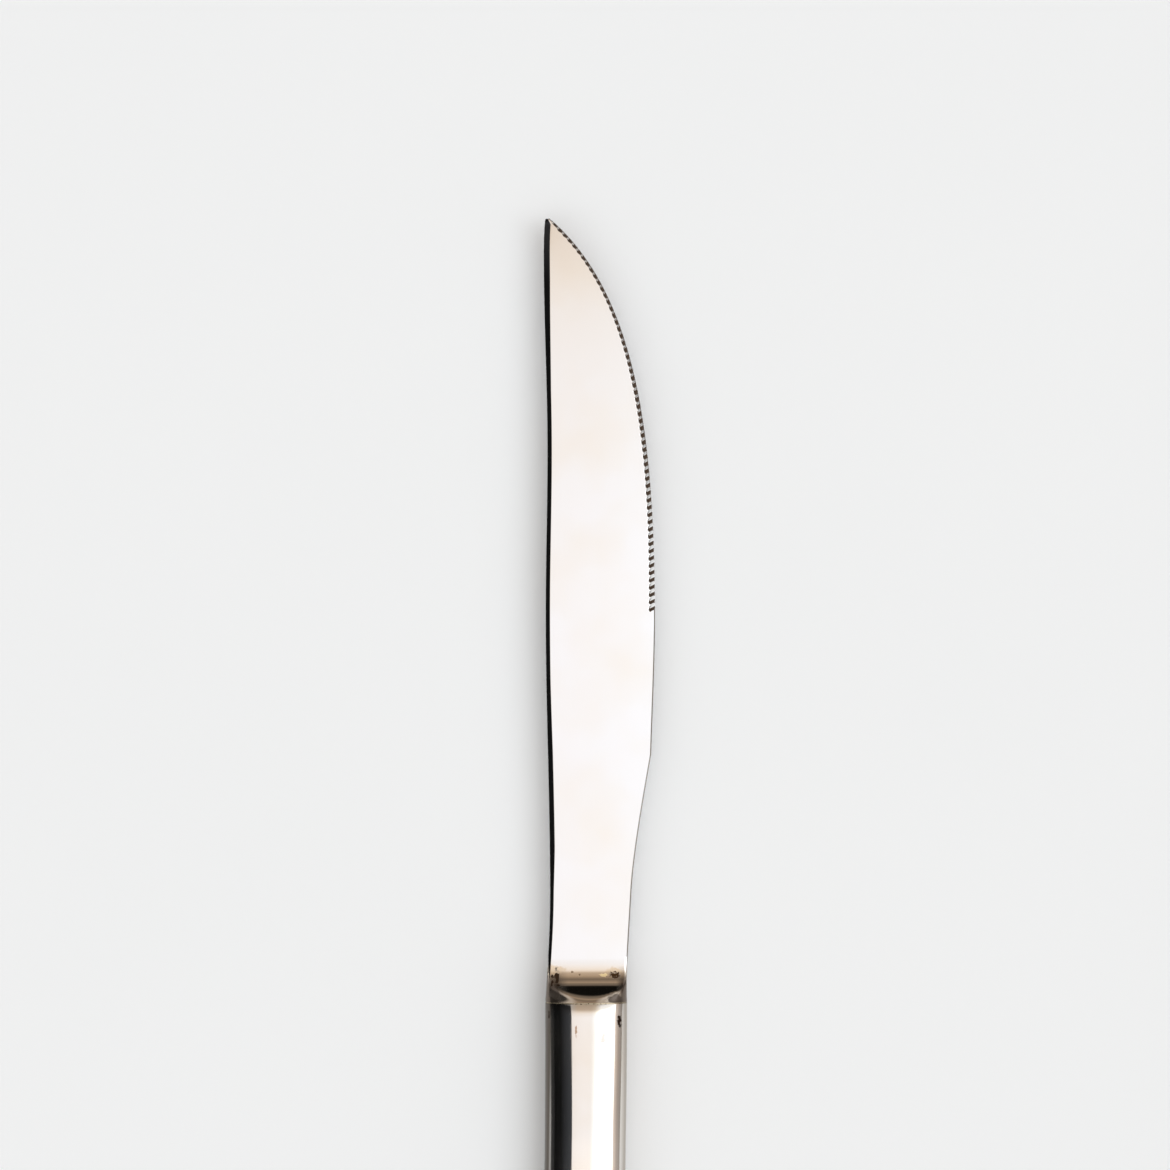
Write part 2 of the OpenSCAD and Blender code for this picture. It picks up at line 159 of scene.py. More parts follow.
def linear(hex_code):
    """sRGB hex value to the linear colour that a shader takes."""
    c = np.array([int(hex_code[i:i + 2], 16) for i in (1, 3, 5)]) / 255
    c = np.where(c <= 0.04045, c / 12.92, ((c + 0.055) / 1.055) ** 2.4)
    return (*c.tolist(), 1.0)


def add(tree, kind, values=None, links=None, **settings):
    """Adds one node: its settings, then values on its sockets, then links into its sockets. A socket goes by
    its name, or by its number where names repeat: on a Mix node the share goes in at 0, colours go in at 6
    and 7 and out at 2, plain values go in at 2 and 3 and out at 0."""
    node = tree.nodes.new(kind)
    for name, value in settings.items():
        setattr(node, name, value)
    for socket, value in (values or {}).items():
        node.inputs[socket].default_value = value
    for socket, output in (links or {}).items():
        tree.links.new(output, node.inputs[socket])
    return node


def start_finish(name, **values):
    """Starts a material: a Principled shader with the given values, and coordinates in mm from the mouth."""
    material = bpy.data.materials.new(name)
    material.use_nodes = True
    tree = material.node_tree
    shader = tree.nodes["Principled BSDF"]
    for socket, value in values.items():
        shader.inputs[socket.replace("_", " ")].default_value = value
    coords = add(tree, "ShaderNodeTexCoord")
    place = add(tree, "ShaderNodeMapping", {"Location": -mouth_centre, "Scale": (1 / mm,) * 3},
                {"Vector": coords.outputs["Object"]})
    return material, tree, shader, place.outputs["Vector"]


def polished_stainless(name, clean, film, film_mm):
    """Chromium stainless, mirror polished: sharp reflections, softened by hairlines that the polishing mop
    leaves along the length and by finger film in patches. Real hairlines are about 0.02 mm wide; they are
    drawn 0.15 mm wide so that they show."""
    hair_w, hair_len = 0.15, 9.0
    bare_rough, film_rough, hair_rough = 0.05, 0.05, 0.06
    material, tree, shader, place = start_finish(name, Metallic=1.0)
    smears = add(tree, "ShaderNodeTexNoise", {"Scale": 1 / film_mm, "Detail": 3.0}, {"Vector": place})
    film_mask = add(tree, "ShaderNodeMapRange", {"From Min": 0.42, "From Max": 0.72},
                    {"Value": smears.outputs["Fac"]})
    stretch = add(tree, "ShaderNodeMapping", {"Scale": (1 / hair_w, 1 / hair_len, 1 / hair_w)},
                  {"Vector": place})
    hair = add(tree, "ShaderNodeTexNoise", {"Scale": 1.0, "Detail": 2.0},
               {"Vector": stretch.outputs["Vector"]})
    hair_mask = add(tree, "ShaderNodeMapRange", {"From Min": 0.58, "From Max": 0.75},
                    {"Value": hair.outputs["Fac"]})
    worn = add(tree, "ShaderNodeMath", {1: hair_rough}, {0: hair_mask.outputs["Result"]},
               operation="MULTIPLY")
    hazed = add(tree, "ShaderNodeMath", {1: film_rough, 2: bare_rough}, {0: film_mask.outputs["Result"]},
                operation="MULTIPLY_ADD")
    rough = add(tree, "ShaderNodeMath", {}, {0: worn.outputs[0], 1: hazed.outputs[0]}, operation="ADD")
    tint = add(tree, "ShaderNodeMix", {6: linear(clean), 7: linear(film)}, {0: film_mask.outputs["Result"]},
               data_type="RGBA")
    tree.links.new(tint.outputs[2], shader.inputs["Base Color"])
    tree.links.new(rough.outputs[0], shader.inputs["Roughness"])
    return material, tree, shader, place


def lay_stain_and_shade(tree, shader, mask, colour, roughness, metal=1.0):
    """Lays another colour and roughness over a finish where the mask is 1: real marks and painted shade
    alike; oxide also dulls the metal.
    """
    over = [("Base Color", "RGBA", 6, 2, linear(colour)), ("Roughness", "FLOAT", 2, 0, roughness)]
    if metal < 1:
        over.append(("Metallic", "FLOAT", 2, 0, metal))
    for socket, kind, first, result, value in over:
        target = shader.inputs[socket]
        blend = add(tree, "ShaderNodeMix", {first: target.default_value, first + 1: value}, {0: mask},
                    data_type=kind)
        for link in target.links:
            tree.links.new(link.from_socket, blend.inputs[first])
        tree.links.new(blend.outputs[result], target)


def patch(tree, place, centre, size, grain):
    """Mask of a ragged patch: full in its middle, torn by noise of the grain's size, none past its size."""
    tear, full_at, none_at = 1.6, 1.2, 1.42
    shift = [-c / reach_out for c, reach_out in zip(centre, size)]
    near = add(tree, "ShaderNodeMapping", {"Location": shift, "Scale": [1 / reach_out for reach_out in size]},
               {"Vector": place})
    reach = add(tree, "ShaderNodeVectorMath", {}, {0: near.outputs["Vector"]}, operation="LENGTH")
    torn = add(tree, "ShaderNodeTexNoise", {"Scale": 1 / grain, "Detail": 3.0}, {"Vector": place})
    depth = add(tree, "ShaderNodeMath", {1: tear}, {0: torn.outputs["Fac"], 2: reach.outputs["Value"]},
                operation="MULTIPLY_ADD")
    mask = add(tree, "ShaderNodeMapRange", {"From Min": none_at, "From Max": full_at},
               {"Value": depth.outputs[0]})
    return mask.outputs["Result"]


shell_steel, shell_tree, shell_shader, shell_place = polished_stainless(
    "chromium_nickel_stainless_pressed_polished", "#E6E3DF", "#E2DACF", 14.0)

# Along the seam the steel is painted greyer, most on the spine's side: painted shade that darkens the table's
# reflection beside the handle. By the mouth sits some dried food. Each mark is given by its centre, half
# sizes, grain and colour.
shell_axes = add(shell_tree, "ShaderNodeSeparateXYZ", {}, {0: shell_place})
off_seam = add(shell_tree, "ShaderNodeMath", {}, {0: shell_axes.outputs["Z"]}, operation="ABSOLUTE")
# Painted shade: the steel is greyed toward the seam, darkening the table's reflection there.
seam_painted_shade = add(shell_tree, "ShaderNodeMapRange", {"From Min": 2.3, "From Max": 1.4},
                {"Value": off_seam.outputs[0]})
lay_stain_and_shade(shell_tree, shell_shader, seam_painted_shade.outputs["Result"], "#AFA69C", 0.14)
spine_side = add(shell_tree, "ShaderNodeMapRange", {"From Min": -2.0, "From Max": -3.0},
                 {"Value": shell_axes.outputs["X"]})
low_side = add(shell_tree, "ShaderNodeMapRange", {"From Min": 2.8, "From Max": 2.0},
               {"Value": off_seam.outputs[0]})
# Painted shade, darker still on the spine's side next to the seam.
spine_side_painted_shade = add(shell_tree, "ShaderNodeMath", {},
                 {0: low_side.outputs["Result"], 1: spine_side.outputs["Result"]}, operation="MULTIPLY")
lay_stain_and_shade(shell_tree, shell_shader, spine_side_painted_shade.outputs[0], "#625B54", 0.2)
food_rough = 0.4
for centre, size, grain, colour in (
    ((4.75, -2.6, 2.6), (0.55, 1.9, 2.0), 0.5, "#2E2018"),
    ((-5.35, -1.7, 2.0), (0.22, 1.1, 2.0), 0.35, "#3A2F28"),
    ((-1.45, -4.0, 3.4), (0.25, 1.6, 2.0), 0.4, "#B79A84"),
    ((2.4, -5.0, 3.4), (0.6, 1.4, 2.0), 0.5, "#C9C3BC"),
):
    lay_stain_and_shade(shell_tree, shell_shader, patch(shell_tree, shell_place, centre, size, grain), colour, food_rough)

outer = handle_skin(0)
inner = handle_skin(wall)
outer[:, 0, 0] += rim_break
outer[:, -1, 0] -= rim_break
outer[-1] = outer[-1].mean(0)
inner[-1] = inner[-1].mean(0)
half_shell = [
    outer,
    inner,
    np.stack([outer[0], inner[0]]),
    np.stack([outer[:, 0], inner[:, 0]], 1),
    np.stack([outer[:, -1], inner[:, -1]], 1),
]
for side, name in ((1, "front"), (-1, "back")):
    shell = make_piece(name + "_half_shell", [sheet * (1, 1, side) for sheet in half_shell])
    shell.data.materials.append(shell_steel)
    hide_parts("handle_" + name + "_shell")
    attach(shell, "root")


# Seam braze: a strip of silver brass that runs down one narrow side of the handle, round the butt and
# up the other, melted between the two shells and polished nearly flush.
seam_sink = 0.06


def seam_path(inset):
    """Plan of the handle at the seam from the mouth's spine side round the butt to its edge side."""
    d, centre, half_w, _ = handle_stations(inset)
    spine_run = np.stack([centre - half_w, -d], -1)
    edge_run_back = np.stack([centre + half_w, -d], -1)[-2::-1]
    return np.concatenate([spine_run, edge_run_back])


def strip(path, z):
    """Points of a plan path raised to one height."""
    return np.concatenate([path, np.full((len(path), 1), z)], 1)


def two_tone(tree, shader, mask, colours, roughness):
    """Colour and roughness that go from a finish's ground to its spots as the mask goes from 0 to 1."""
    tint = add(tree, "ShaderNodeMix", {6: linear(colours[0]), 7: linear(colours[1])}, {0: mask},
               data_type="RGBA")
    gloss = add(tree, "ShaderNodeMapRange", {"To Min": roughness[0], "To Max": roughness[1]}, {"Value": mask})
    tree.links.new(tint.outputs[2], shader.inputs["Base Color"])
    tree.links.new(gloss.outputs["Result"], shader.inputs["Roughness"])


seam_out, seam_in = seam_path(seam_sink), seam_path(wall)
seam_corners = [
    strip(seam_out, seam_half),
    strip(seam_out, -seam_half),
    strip(seam_in, -seam_half),
    strip(seam_in, seam_half),
]
seam_run = np.stack(seam_corners + seam_corners[:1], 1)
seam_ends = [np.stack([seam_run[i, [0, 1]], seam_run[i, [3, 2]]]) for i in (0, -1)]
seam = make_piece("seam_braze_run", [seam_run, *seam_ends])

# Silver brass braze, melted and polished down: a dull pale gold with pinholes where flux was.
pinhole_mm = 0.25
braze, braze_tree, braze_shader, braze_place = start_finish("silver_brass_braze_polished_down", Metallic=1.0)
pinholes = add(braze_tree, "ShaderNodeTexNoise", {"Scale": 1 / pinhole_mm, "Detail": 2.0},
               {"Vector": braze_place})
pin_mask = add(braze_tree, "ShaderNodeMapRange", {"From Min": 0.55, "From Max": 0.7},
               {"Value": pinholes.outputs["Fac"]})
two_tone(braze_tree, braze_shader, pin_mask.outputs["Result"], ("#968A76", "#4C4034"), (0.25, 0.6))
seam.data.materials.append(braze)
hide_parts("seam_braze")
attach(seam, "root")


# Balance weight: a short piece of round-edged mild steel bar, sawn to length and dropped into the butt
# before the cement, so that the knife doesn't tip toward its blade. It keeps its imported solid.

# Mild steel as rolled: blue-grey mill scale, matte, with rust in blotches.
rust_mm = 2.0
bar, bar_tree, bar_shader, bar_place = start_finish("mild_steel_bar_as_rolled", Metallic=0.85)
scale_spots = add(bar_tree, "ShaderNodeTexNoise", {"Scale": 1 / rust_mm, "Detail": 5.0},
                  {"Vector": bar_place})
rust = add(bar_tree, "ShaderNodeMapRange", {"From Min": 0.5, "From Max": 0.62},
           {"Value": scale_spots.outputs["Fac"]})
two_tone(bar_tree, bar_shader, rust.outputs["Result"], ("#55585C", "#6A4630"), (0.42, 0.8))
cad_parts["balance_weight"].material_slots[0].material = bar


# Tang cement: resin filled with sand, poured round the weight and the tang and set hard. It fills the
# handle from the spigot to the weight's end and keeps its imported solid.

# Sand-filled resin, cast: tan and matte, with grains that stand out of the surface.
sand_mm = 0.4
sand_rise = 0.1
cement, cement_tree, cement_shader, cement_place = start_finish("sand_filled_resin_cast", Roughness=0.9)
grains = add(cement_tree, "ShaderNodeTexVoronoi", {"Scale": 1 / sand_mm}, {"Vector": cement_place})
sand = add(cement_tree, "ShaderNodeMapRange", {"From Max": 0.8}, {"Value": grains.outputs["Distance"]})
cement_colour = add(cement_tree, "ShaderNodeMix", {6: linear("#D8C7A6"), 7: linear("#94784F")},
                    {0: sand.outputs["Result"]}, data_type="RGBA")
cement_bump = add(cement_tree, "ShaderNodeBump", {"Strength": 0.5, "Distance": sand_rise * mm},
                  {"Height": grains.outputs["Distance"]}, invert=True)
cement_tree.links.new(cement_colour.outputs[2], cement_shader.inputs["Base Color"])
cement_tree.links.new(cement_bump.outputs["Normal"], cement_shader.inputs["Normal"])
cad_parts["tang_cement"].material_slots[0].material = cement


# Blade: one forging of hardened chromium stainless, ground to a wedge from spine to edge, with bevels
# along the spine, one bevel on the back of the edge and gullets cut into the front by a profiled wheel.
# The bolster rises out of the blade's foot in one sweep and ends in the handle's own section.
_, blade_high = (np.array(corner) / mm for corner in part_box("blade"))
blade_len = blade_high[1] - mouth_centre[1]
edge_x = blade_high[0] - mouth_centre[0]
spine_mid_x = 5.83
spine_mid_at = 56.0
spine_wave_x = 5.58
spine_wave_at = blade_len - 34
spine_nose_x = 6.12
nose_len = 5.0
tip_x = 5.6
tip_w = 0.4
blade_w = edge_x + spine_mid_x
spine_t = 2.0
edge_t = 0.7
spine_bevel_tilt = np.radians(32)
spine_bevel_at = [0, 8, 16, 22, 36, 46, 60, 88, 104]
spine_bevel_w = [0.42, 0.45, 0.52, 0.70, 0.70, 0.60, 0.60, 0.62, 0.88]
spine_bevel_most = 0.82
spine_share = 0.4
belly_end = 55.0
tip_slope = np.radians(40)
tip_reach = 16.7
edge_reach = 26.0
heel_at = 35.6
heel_x = edge_x - 0.55
neck_at = 15.5
neck_edge_x = 6.5
neck_spine_x = 5.2
plain_pull = 0.3
heel_pull = (0.37, 0.3)
heel_fade = (0.09, 0.27)
neck_pull = (0.6, 0.4)
mouth_pinch = (-0.35, 0.25)
edge_bevel_w = 1.0
edge_land = 0.3
edge_break_w = 0.16
edge_break_tilt = np.radians(40)
bevel_runout = 2.5
tooth_pitch = 1.05
first_tooth = 1.0
last_tooth = 1.2
tooth_at = [57, 70, 85, 101, 113]
tooth_crest = [0.48, 0.56, 0.68, 0.74, 0.7]
gullet_len = [1.0, 0.85, 0.7, 0.54, 0.5]
gullet_room = 0.35
gullet_depth = 0.26
gullet_lean = np.radians(25)
gullet_fill = 0.92
gullet_wall = 6
gullet_round = 0.05
lean_fade = 8.0
fillet_at = [7.36, 5.92, 5.2, 4.47, 3.75, 3.17, 2.74, 2.45, 2.3, 2.1, 1.44, 0]
fillet_tilt = [0, 3.0, 5.0, 6.6, 11.5, 17, 25, 38, 41.5, 43, 43, 43]
fillet_blend = 2.0
collar_sink = 0.18
collar_square = 0.35
collar_square_len = 2.0
collar_slope = 0.25
collar_slope_power = 0.25
collar_len = 3.0
collar_rise = 0.06
crest_round = 0.09
crest_power = 1.5
crest_least = 0.015
uncreased = (0.02, 6.4)


def mix(a, b, t):
    """Straight blend from a to b."""
    return a + (b - a) * t


def grow(y, start, span):
    """Straight rise from 0 at the start to 1 after the span."""
    return np.clip((y - start) / span, 0, 1)


def bezier(controls, t):
    """Points of a cubic curve with four control points."""
    p, t = np.array(controls), np.asarray(t)[:, None]
    return (1 - t) ** 3 * p[0] + 3 * (1 - t) ** 2 * t * p[1] + 3 * (1 - t) * t ** 2 * p[2] + t ** 3 * p[3]


def spine_line(y):
    """Distance of the spine from the axis: a quarter sine out of the mouth, cosine eases from neck to mid
    blade to the hollow of the wave to the nose, and a quarter ellipse round to the point."""
    nose_at = blade_len - nose_len
    from_mouth = mix(mouth_half_w, neck_spine_x, np.sin(np.pi / 2 * np.clip(y / neck_at, 0, 1)))
    to_mid = (spine_mid_x - neck_spine_x) * ease((y - neck_at) / (spine_mid_at - neck_at))
    wave = (spine_wave_x - spine_mid_x) * ease((y - spine_mid_at) / (spine_wave_at - spine_mid_at))
    nose = (spine_nose_x - spine_wave_x) * ease((y - spine_wave_at) / (nose_at - spine_wave_at))
    round_off = np.sqrt(1 - grow(y, nose_at, nose_len) ** 2)
    return from_mouth + to_mid + wave + nose + (tip_x + tip_w / 2 - spine_nose_x) * (1 - round_off)


belly = [
    (tip_w / 2 - tip_x, blade_len),
    (tip_w / 2 - tip_x + tip_reach * np.cos(tip_slope), blade_len - tip_reach * np.sin(tip_slope)),
    (edge_x, belly_end + edge_reach),
    (edge_x, belly_end),
]
plain = [
    belly[3],
    (edge_x, mix(belly_end, heel_at, plain_pull)),
    (mix(heel_x, edge_x, plain_pull), mix(heel_at, belly_end, plain_pull)),
    (heel_x, heel_at),
]
heel = [
    plain[3],
    (mix(heel_x, neck_edge_x, heel_pull[0]), mix(heel_at, neck_at, heel_pull[1])),
    (mix(neck_edge_x, heel_x, heel_fade[0]), mix(neck_at, heel_at, heel_fade[1])),
    (neck_edge_x, neck_at),
]
neck = [
    heel[3],
    (mix(neck_edge_x, mouth_half_w, neck_pull[0]), mix(neck_at, 0, neck_pull[1])),
    (mix(mouth_half_w, neck_edge_x, mouth_pinch[0]), mix(0, neck_at, mouth_pinch[1])),
    (mouth_half_w, 0),
]

# Stations: along the belly thirteen to a tooth, counted by length of edge, so that each gullet's floor and
# each tooth's crest lie on one; below it they follow the curves and crowd where the bolster rises.
curve_samples = 4000
neck_samples = 2000
point_rows, runout_rows = 9, 24
plain_rows, heel_rows, neck_rows, bolster_rows = 30, 50, 14, 90
rise_steps = np.array([-1, -0.86, -0.7, -0.53, -0.36, -0.2, -0.08, 0])
fall_steps = np.array([0.1, 0.26, 0.45, 0.64, 0.83])
fine = bezier(belly, np.linspace(0, 1, curve_samples))
length = np.append(0, np.cumsum(np.linalg.norm(np.diff(fine, axis=0), axis=1)))
teeth = np.arange(first_tooth, length[-1] - last_tooth, tooth_pitch)
teeth_y = np.interp(teeth, length, fine[:, 1])[:, None]
crest = np.interp(teeth_y, tooth_at, tooth_crest)
off = tooth_pitch * np.concatenate([rise_steps * (1 - crest), fall_steps * crest], 1)
flank_w = tooth_pitch * gullet_fill * np.where(off > 0, crest, 1 - crest)
cut = (teeth[:, None] + off).ravel()
walk = np.concatenate([
    np.linspace(0, cut[0], point_rows)[:-1],
    cut,
    np.linspace(cut[-1], length[-1], runout_rows)[1:],
])
toothed = np.stack([np.interp(walk, length, fine[:, k]) for k in (0, 1)], -1)
foot = bezier(neck, np.linspace(0, 1, neck_samples))
foot_y = np.concatenate([
    np.linspace(neck_at, fillet_at[0], neck_rows)[1:],
    np.linspace(fillet_at[0], 0, bolster_rows)[1:],
])
edge = np.concatenate([
    toothed,
    bezier(plain, np.linspace(0, 1, plain_rows))[1:],
    bezier(heel, np.linspace(0, 1, heel_rows))[1:],
    np.stack([np.interp(-foot_y, -foot[:, 1], foot[:, 0]), foot_y], -1),
])
edge_run = np.gradient(edge, axis=0)
edge_run /= np.linalg.norm(edge_run, axis=1)[:, None]


def inside_edge(x, y):
    """Distance square to the edge, from the edge's place and direction at the same height."""
    at = np.interp(-y, -edge[:, 1], edge[:, 0])
    return (at - x) * np.interp(-y, -edge[:, 1], -edge_run[:, 1])


def wedge(x, y):
    """Half thickness: it falls evenly from spine to edge; along the belly it follows the curved edge."""
    reach = np.where(y > belly_end, inside_edge(x, y), edge_x - x)
    return mix(edge_t, spine_t, reach / blade_w) / 2


# Rows: each runs from the spine square across the cheek, then along the gullets' lean to the edge; below
# the teeth the lean fades out. Columns lie on the bevels' borders and crowd at both rims, for the bolster's
# oval. Bevel columns are shares of the bevel, gullet columns of the gullet, edge columns millimetres.
bevel_columns = np.array([0, 0.02, 0.08, 0.18, 0.35, 0.7, 0.97, 1.03, 1.3])
cheek_columns = np.linspace(0, 1, 17)[1:-1]
gullet_columns = [1.4, 1.16, 1.06, 1.0, 0.95, 0.89, 0.81, 0.7, 0.57, 0.44]
edge_columns = [0.17, 0.13, 0.07, 0.03, 0.01, 0]
fade = 1 - ease((belly_end - edge[:, 1]) / lean_fade)
turn_out = (np.arctan2(edge_run[:, 0], -edge_run[:, 1]) + gullet_lean) * fade
run_in = np.interp(edge[:, 1:], tooth_at, gullet_len)
full_w = edge[:, :1] + spine_line(edge[:, 1:])
room = np.minimum(1, gullet_room * full_w / run_in / gullet_columns[0])
run_in = run_in * room
band = np.append(run_in * gullet_columns, room * edge_columns, 1)
band_x = edge[:, :1] - band * np.cos(turn_out)[:, None]
band_y = edge[:, 1:] - band * np.sin(turn_out)[:, None]
row_y = band_y[:, :1]
spine_at = -spine_line(row_y)
bevel_w = np.interp(row_y, spine_bevel_at, spine_bevel_w)
bevel_w = np.minimum(bevel_w, spine_bevel_most * (band_x[:, :1] - spine_at))
left = spine_at + bevel_columns * bevel_w
cheek = mix(left[:, -1:], band_x[:, :1], cheek_columns)
x_grid = np.concatenate([left, cheek, band_x], 1)
y_grid = np.concatenate([np.repeat(row_y, left.shape[1] + cheek.shape[1], 1), band_y], 1)

# Heights: the wedge cut by the spine bevels and by the broken corner of the edge; the front by the gullets,
# whose floors curve up from the edge between two flat flanks; the back by the edge bevel.
half = wedge(x_grid, y_grid)
spine_half = wedge(spine_at, row_y)
spine_edge = np.maximum(spine_half - bevel_w * np.tan(spine_bevel_tilt), spine_share * spine_half)
spine_cut = mix(spine_edge, wedge(spine_at + bevel_w, row_y), (x_grid - spine_at) / bevel_w)
inset_grid = inside_edge(x_grid, y_grid)
corner_cut = half + (inset_grid - edge_break_w) * np.tan(edge_break_tilt)
ground = np.minimum(half, np.minimum(spine_cut, corner_cut))
first_cut = np.searchsorted(walk, cut[0])
cut_rows = slice(first_cut, first_cut + len(cut))
flank = gullet_depth * (np.sqrt(off ** 2 + gullet_round ** 2) - gullet_round) / flank_w
floor = edge_t / 2 - gullet_depth * (1 - (band / run_in) ** gullet_wall)
groove = np.full(x_grid.shape, np.inf)
groove[cut_rows, -band.shape[1]:] = floor[cut_rows] + flank.reshape(-1, 1)
plain_share = np.clip((belly_end - edge[:, 1:]) / bevel_runout, 0, 1)
back_edge = mix(edge_t / 2 - edge_land, edge_break_w - wedge(edge[:, :1], edge[:, 1:]), plain_share)
back_w = mix(edge_bevel_w, edge_break_w, plain_share)
back_cut = mix(back_edge, -wedge(edge[:, :1] - back_w, edge[:, 1:]), inset_grid / back_w)
front_z = np.minimum(ground, groove)
back_z = np.maximum(-np.minimum(half, spine_cut), back_cut)

# Residue and painted shade, 0 to 1 per point: full on each gullet's floor and flank toward the handle, less
# on the other flank, and a thin line on the edge's broken corner. It is a brown stain and also painted shade
# in the gullets and along the edge. The other flank's share and the line on the teeth grow toward the point,
# the line
# on the plain edge out of the bolster: each has a strength, a start and a length.
floor_from = -0.02
seen_depth = 0.003
far_flank, far_flank_from, far_flank_len = 0.4, 85, 16
tooth_line, tooth_line_from, tooth_line_len = 0.75, 68, 14
plain_line, plain_line_from, plain_line_len = 0.6, 6, 2
line_columns = slice(1 - len(edge_columns), None)
# Brown stain and painted shade: the gullets' floors and near flanks take it in full.
flank_residue_and_shade = np.where(off > floor_from, 1, far_flank * grow(teeth_y, far_flank_from, far_flank_len))
toothed_line = np.broadcast_to(tooth_line * grow(teeth_y, tooth_line_from, tooth_line_len), off.shape)
below_teeth = edge[cut_rows.stop:, 1:]
residue_and_shade = np.zeros(x_grid.shape)
residue_and_shade[cut_rows] = (front_z < ground - seen_depth)[cut_rows] * flank_residue_and_shade.reshape(-1, 1)
residue_and_shade[cut_rows, line_columns] = np.maximum(residue_and_shade[cut_rows, line_columns], toothed_line.reshape(-1, 1))
residue_and_shade[cut_rows.stop:, line_columns] = plain_line * grow(below_teeth, plain_line_from, plain_line_len)

# The bolster: a fillet of one profile across the blade climbs until it meets a collar of the handle's own
# section, which falls a little toward the blade; the crest between them is rounded over.
climb_samples = 800
climb_y = np.linspace(fillet_at[0], 0, climb_samples)
climb_slope = np.tan(np.radians(np.interp(-climb_y, -np.array(fillet_at), fillet_tilt)))
climb = np.append(0, np.cumsum((climb_slope[1:] + climb_slope[:-1]) / 2)) * (climb_y[0] - climb_y[1])
lift = np.interp(-y_grid, -climb_y, climb)
from_mid = np.abs(2 * x_grid - edge[:, :1] - spine_at) / (edge[:, :1] - spine_at)
arch = np.clip(1 - from_mid ** section_power, 0, 1) ** (1 / section_power)
collar = (mouth_half_t - collar_sink) * arch ** (1 - collar_square * ease(y_grid / collar_square_len))
collar = collar - collar_slope * np.minimum(y_grid, collar_len) * arch ** collar_slope_power
collar = collar + collar_rise * np.maximum(y_grid - collar_len, 0) ** 2


def rounded_lower(a, b):
    """The lower of two heights, with the crossing rounded over, less and less toward the section's ends."""
    r = crest_round * arch ** crest_power + crest_least
    return -r * np.logaddexp(-a / r, -b / r)


bolster_share = ease((fillet_at[0] - y_grid) / fillet_blend)
front_z = mix(front_z, rounded_lower(front_z + lift, collar), bolster_share)
back_z = mix(back_z, -rounded_lower(lift - back_z, collar), bolster_share)
low = np.where(bolster_share > 0, 0, np.inf)
front = np.stack([x_grid, y_grid, np.maximum(front_z, -low)], -1)
back = np.stack([x_grid, y_grid, np.minimum(back_z, low)], -1)
middle = (front + back) / 2
girth = np.concatenate([front, back[:, ::-1], front[:, :1]], 1)
caps = np.concatenate([middle, middle[:, ::-1], middle[:, :1]], 1)
girth_residue_and_shade = np.concatenate([residue_and_shade, 0 * residue_and_shade, residue_and_shade[:, :1]], 1)
blade = make_piece(
    "forged_blade",
    [np.concatenate([caps[:1], girth, caps[-1:]])],
    marks={"residue_and_shade": np.concatenate([girth_residue_and_shade[:1], girth_residue_and_shade, girth_residue_and_shade[-1:]])},
    soft=uncreased,
)

blade_steel, blade_tree, blade_shader, blade_place = polished_stainless(
    "hardened_chromium_stainless_ground_polished", "#E9E9EA", "#E6E1DA", 17.0)

# The gullets stay as ground and hold a brown stain, which is also painted shade on their flanks and along the
# edge's broken corner. Brazing has left a straw tint on the bolster and grey tarnish at its two ends. Food
# has
# dried there: pale film, dark crumbs and a yellow one. Each patch is given by its centre, half sizes, grain,
# colour, roughness and metal.
flanks = add(blade_tree, "ShaderNodeAttribute", attribute_name="residue_and_shade")
# Brown stain in the gullets, which is also painted shade on their flanks and a painted dark line along the
# edge.
lay_stain_and_shade(blade_tree, blade_shader, flanks.outputs["Fac"], "#6B5D52", 0.3)
blade_axes = add(blade_tree, "ShaderNodeSeparateXYZ", {}, {0: blade_place})
straw = add(blade_tree, "ShaderNodeMapRange", {"From Min": 5.6, "From Max": 3.6},
            {"Value": blade_axes.outputs["Y"]})
lay_stain_and_shade(blade_tree, blade_shader, straw.outputs["Result"], "#E9DCCB", 0.06)
spine_end = add(blade_tree, "ShaderNodeMapRange", {"From Min": -2.6, "From Max": -4.2},
                {"Value": blade_axes.outputs["X"]})
edge_end = add(blade_tree, "ShaderNodeMapRange", {"From Min": 4.3, "From Max": 5.1},
               {"Value": blade_axes.outputs["X"]})
either_end = add(blade_tree, "ShaderNodeMath", {},
                 {0: spine_end.outputs["Result"], 1: edge_end.outputs["Result"]}, operation="ADD")
foot_mask = add(blade_tree, "ShaderNodeMapRange", {"From Min": 5.2, "From Max": 2.6},
                {"Value": blade_axes.outputs["Y"]})
end_mask = add(blade_tree, "ShaderNodeMath", {},
               {0: either_end.outputs[0], 1: foot_mask.outputs["Result"]}, operation="MULTIPLY")
lay_stain_and_shade(blade_tree, blade_shader, end_mask.outputs[0], "#6E6258", 0.18, 0.88)
